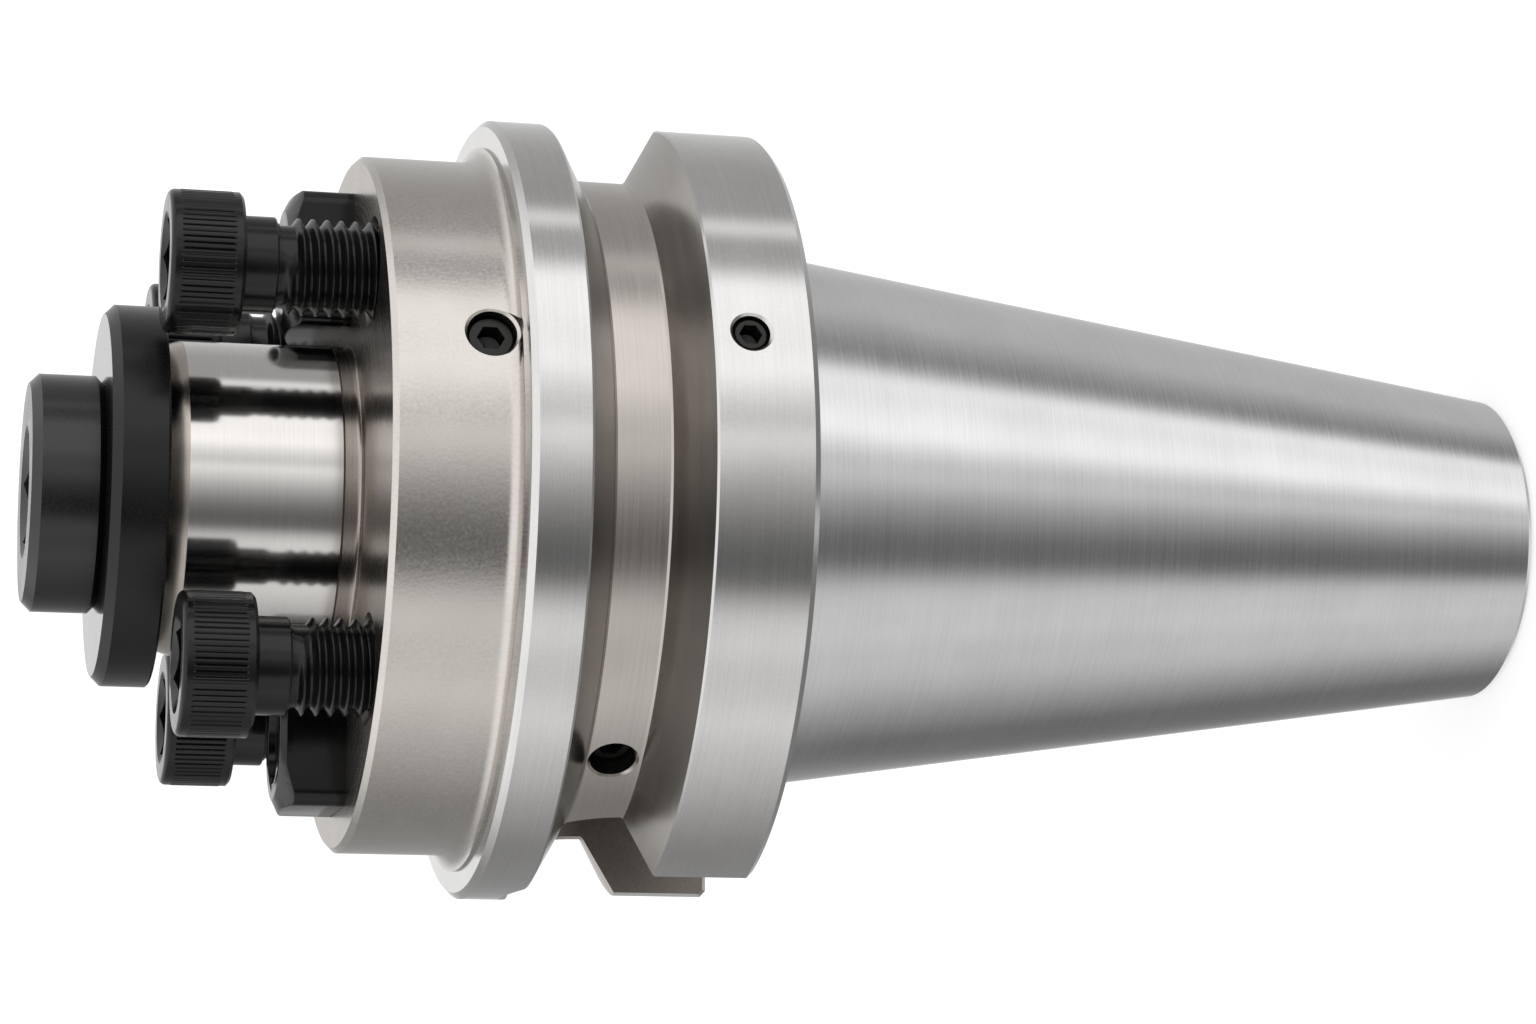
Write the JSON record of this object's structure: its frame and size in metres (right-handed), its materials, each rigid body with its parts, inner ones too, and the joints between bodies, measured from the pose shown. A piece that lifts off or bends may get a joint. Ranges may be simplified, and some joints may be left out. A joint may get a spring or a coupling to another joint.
{
  "type": "shell mill holder",
  "caption": "Tool holder with a steep taper, a grooved flange, a pilot, drive keys and clamp screws for a shell or face mill.",
  "frame": {"origin": "centre of the gauge plane of the taper, on the tool axis", "axes": "+Z along the tool axis to the nose; the drive slots and drive keys lie along Y"},
  "size_m": [0.1, 0.1, 0.1955],
  "materials": {
    "holder_steel": "ground and satin",
    "black_washer": "black oxide, semi-gloss",
    "black_screw": "black oxide, semi-gloss",
    "black_key": "black oxide, satin",
    "plug_steel": "dark oxide"
  },
  "bodies": {
    "root": {"holder_body": "holder_steel", "retaining_washer": "black_washer", "retaining_screw": "black_screw", "clamp_screws": "black_screw", "drive_key_upper": "black_key", "drive_key_lower": "black_key", "drive_key_screws": "black_screw", "hub_duct_plug": "plug_steel", "flange_duct_plug": "plug_steel", "groove_duct_plug": "plug_steel"}
  },
  "joints": []
}
